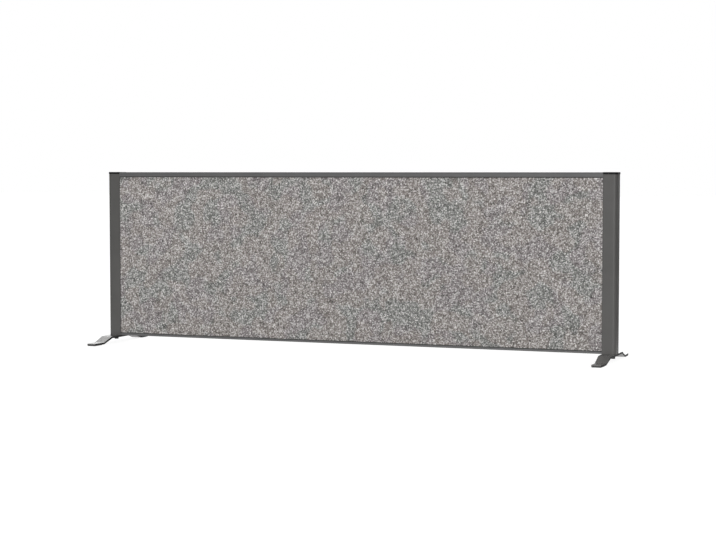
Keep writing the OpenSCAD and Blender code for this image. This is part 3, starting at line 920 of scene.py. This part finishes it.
def bolt_rows(bottom, top):
    """Heights and radii of the bolt from the bottom of its socket to its tip. The socket
    is a hexagon, whose radius is its half width over the cosine of the angle from the
    nearest flat. The knurl draws every second point in, and the thread is a sawtooth of
    height that climbs one pitch in a turn."""
    turn = np.arange(bolt_angles) / bolt_angles
    round_row = np.ones(bolt_angles)
    hexagon = bolt_socket_half / np.cos((turn * 2 * np.pi + np.pi / 6) % (np.pi / 3) - np.pi / 6)
    knurl = bolt_head_radius - bolt_knurl_depth * (np.arange(bolt_angles) % 2)
    seat = bottom + bolt_head_height
    depth = bottom + bolt_socket_depth
    inner = bolt_head_radius - bolt_rim
    rows = [(depth, 0 * round_row), (depth, 0.9 * hexagon), (depth, hexagon),
            (bottom + bolt_chamfer, hexagon), (bottom, hexagon + bolt_chamfer),
            (bottom, 0.97 * inner * round_row), (bottom, inner * round_row)]
    rows += [(bottom + bolt_rim * (1 - math.cos(a)), (inner + bolt_rim * math.sin(a)) * round_row)
             for a in (math.pi / 8, math.pi / 4, 3 * math.pi / 8)]
    head = bolt_head_radius * round_row
    rows += [(bottom + bolt_rim, head), (bottom + 1.5 * bolt_rim, knurl), (seat - 1.2 * bolt_rim, knurl),
             (seat - 0.8 * bolt_rim, head), (seat - 0.2 * bolt_rim, head),
             (seat, head - 0.2 * bolt_rim), (seat, bolt_radius * round_row)]
    thread_start, thread_stop = seat + 2 * bolt_thread_pitch, top - bolt_thread_pitch
    rows += [(thread_start - bolt_thread_pitch / 4, bolt_radius * round_row)]
    for height in np.arange(thread_start, thread_stop, bolt_thread_pitch / 4):
        climb = ((height / bolt_thread_pitch - turn) % 1.0) * 2 - 1
        rows.append((height, bolt_radius - bolt_thread_depth * (1 - np.abs(climb))))
    rows += [(thread_stop, (bolt_radius - bolt_thread_depth) * round_row),
             (top, (bolt_radius - 2 * bolt_thread_depth) * round_row), (top, 0 * round_row)]
    heights, radii = zip(*rows)
    return np.array(heights), np.array(radii)


bolt_finish = black_steel()
for side in ("left", "right"):
    low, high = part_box(side + "_foot_bolt")
    heights, radii = bolt_rows(low.z, high.z)
    points, faces = turned(heights, radii, ((low.x + high.x) / 2, (low.y + high.y) / 2))
    bolt = mesh_piece(side + "_foot_screw", points, faces, bolt_finish)
    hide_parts(side + "_foot_bolt")
    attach(bolt, "root")

# Glide pads: strips of black rubber, die cut with the tips' own taper and glued under
# them, so that the steel never touches the desk.
pad_corner_radius = 0.0015
pad_edge_radius = 0.0003
pad_narrow_share = 0.888
pad_black = (0.018, 0.018, 0.018, 1.0)
pad_grey = (0.040, 0.040, 0.040, 1.0)

pad_finish = rubber("pad_rubber", pad_black, pad_grey)
for side in ("left", "right"):
    for end, away in (("front", -1.0), ("rear", 1.0)):
        node = "%s_%s_pad" % (side, end)
        low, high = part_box(node)
        near, far = (low.y, high.y) if away > 0 else (high.y, low.y)
        middle, wide = (low.x + high.x) / 2, (high.x - low.x) / 2
        narrow = wide * pad_narrow_share
        outline = rounded([(middle - wide, near), (middle + wide, near), (middle + narrow, far),
                           (middle - narrow, far)], pad_corner_radius, steps=6)
        stations = end_stations(low.z, high.z, pad_edge_radius)
        points, faces = carried([one_way(outline, 1.0)], stations, along=2)
        pad = mesh_piece(node + "_strip", points, faces, pad_finish)
        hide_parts(node)
        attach(pad, "root")

# Floor: a wide matt white board. Its upper face glows a little, as a lit studio floor
# does, and much more for the camera and where the feet mirror the board close to
# them. From below it lets the view through.
floor_half = 30.0
floor_level = -0.0003
floor_white = (0.52, 0.52, 0.52, 1.0)
floor_shade = (0.50, 0.50, 0.50, 1.0)
floor_dim = (0.15, 0.15, 0.15, 1.0)
floor_seen = (0.24, 0.24, 0.24, 1.0)
floor_lift = 0.90
floor_glow = 0.05
floor_near = 0.25


def floor_paint():
    """Matt white paint with a hardly visible unevenness. Its glow rises from low to high
    for the camera and, close to the screen, for what mirrors it."""
    white = (1.0, 1.0, 1.0, 1.0)
    material, tree, place = new_finish(
        "floor_paint", {"Roughness": 0.9, "Specular IOR Level": 0.0, "Emission Color": white})
    shader = tree.nodes["Principled BSDF"]
    rays = add_node(tree, "LightPath").outputs
    uneven = ramped(tree, noise(tree, place, 0.5, detail=3.0), 0.3, 0.7)
    paint = mixed(tree, rays["Is Glossy Ray"], mixed(tree, uneven, floor_shade, floor_white), floor_dim)
    paint = mixed(tree, rays["Is Camera Ray"], paint, floor_seen)
    tree.links.new(paint, shader.inputs["Base Color"])
    away = maths(tree, "ABSOLUTE", add_node(tree, "SeparateXYZ", {0: place}).outputs["Y"])
    near = ramped(tree, away, floor_near, 2 * floor_near, 1.0, 0.0)
    mirrored = maths(tree, "MULTIPLY", rays["Is Glossy Ray"], near)
    bright = maths(tree, "MAXIMUM", rays["Is Camera Ray"], mirrored)
    lift = ramped(tree, bright, 0.0, 1.0, floor_glow, floor_lift)
    tree.links.new(lift, shader.inputs["Emission Strength"])
    behind = add_node(tree, "NewGeometry").outputs["Backfacing"]
    clear = add_node(tree, "BsdfTransparent").outputs[0]
    both = add_node(tree, "MixShader", {0: behind, 1: shader.outputs[0], 2: clear})
    tree.links.new(both.outputs[0], tree.nodes["Material Output"].inputs["Surface"])
    return material


spread = floor_half * np.array([(-1, -1), (1, -1), (1, 1), (-1, 1)], float)
corners = np.concatenate([spread, np.full((4, 1), floor_level)], 1)
floor = mesh_piece("floor", corners, [(0, 1, 2, 3)], floor_paint())

# Studio light: a white room, a large soft key light from the front, and a weaker one
# from behind. Reflections see a dim room with a dark ceiling. Its rear wall has a bright
# window on the left, and a white skirt along its foot from the left to past the middle.
room_level = 0.62
room_zenith_level = 0.19
room_dim_level = 0.30
room_ceiling_level = 0.04
room_window_level = 1.12
room_skirt_level = 1.00


def soft_light(name, level, turn, rise, spread, shine):
    """A distant light that would light a facing white surface to the given level. Turn
    is measured round the object from the front towards its right end, and shine is the
    share of the light that reflections show. Its angles are in degrees."""
    light = bpy.data.lights.new(name, "SUN")
    light.energy = level * math.pi
    light.angle = math.radians(spread)
    light.specular_factor = shine
    made = bpy.data.objects.new(name, light)
    made.rotation_euler = (math.pi / 2 - math.radians(rise), 0.0, math.radians(turn))
    bpy.context.scene.collection.objects.link(made)


def part_of_wall(tree, toward, x, z):
    """1 in a part of the room behind the screen and 0 elsewhere. Upwards and to the
    right it fades from the first to the second value of the pairs z and x."""
    mask = ramped(tree, toward["Y"], 0.2, 0.5)
    for axis, (full, none) in (("Z", z), ("X", x)):
        mask = maths(tree, "MULTIPLY", mask, ramped(tree, toward[axis], full, none, 1.0, 0.0))
    return mask


soft_light("key_light", level=0.86, turn=11.0, rise=9.0, spread=50.0, shine=1.0)
soft_light("rear_light", level=0.54, turn=184.0, rise=30.0, spread=60.0, shine=0.0)
world = bpy.data.worlds.new("white_room")
world.use_nodes = True
background = world.node_tree.nodes["Background"]
background.inputs["Color"].default_value = (1.0, 1.0, 1.0, 1.0)
tree = world.node_tree
toward = add_node(tree, "SeparateXYZ", {0: add_node(tree, "TexCoord").outputs["Generated"]}).outputs
window = part_of_wall(tree, toward, x=(-0.42, -0.28), z=(0.40, 0.72))
skirt = part_of_wall(tree, toward, x=(0.05, 0.20), z=(0.12, 0.20))
dim = ramped(tree, toward["Z"], 0.1, 0.5, room_dim_level, room_ceiling_level)
dim = ramped(tree, skirt, 0.0, 1.0, dim, room_skirt_level)
reflected = ramped(tree, window, 0.0, 1.0, dim, room_window_level)
path = add_node(tree, "LightPath").outputs
lit = ramped(tree, toward["Z"], 0.0, 1.0, room_level, room_zenith_level)
strength = ramped(tree, path["Is Glossy Ray"], 0.0, 1.0, lit, reflected)
strength = ramped(tree, path["Is Camera Ray"], 0.0, 1.0, strength, 1.0)
tree.links.new(strength, background.inputs["Strength"])
bpy.context.scene.world = world
bpy.context.scene.view_settings.view_transform = "Standard"
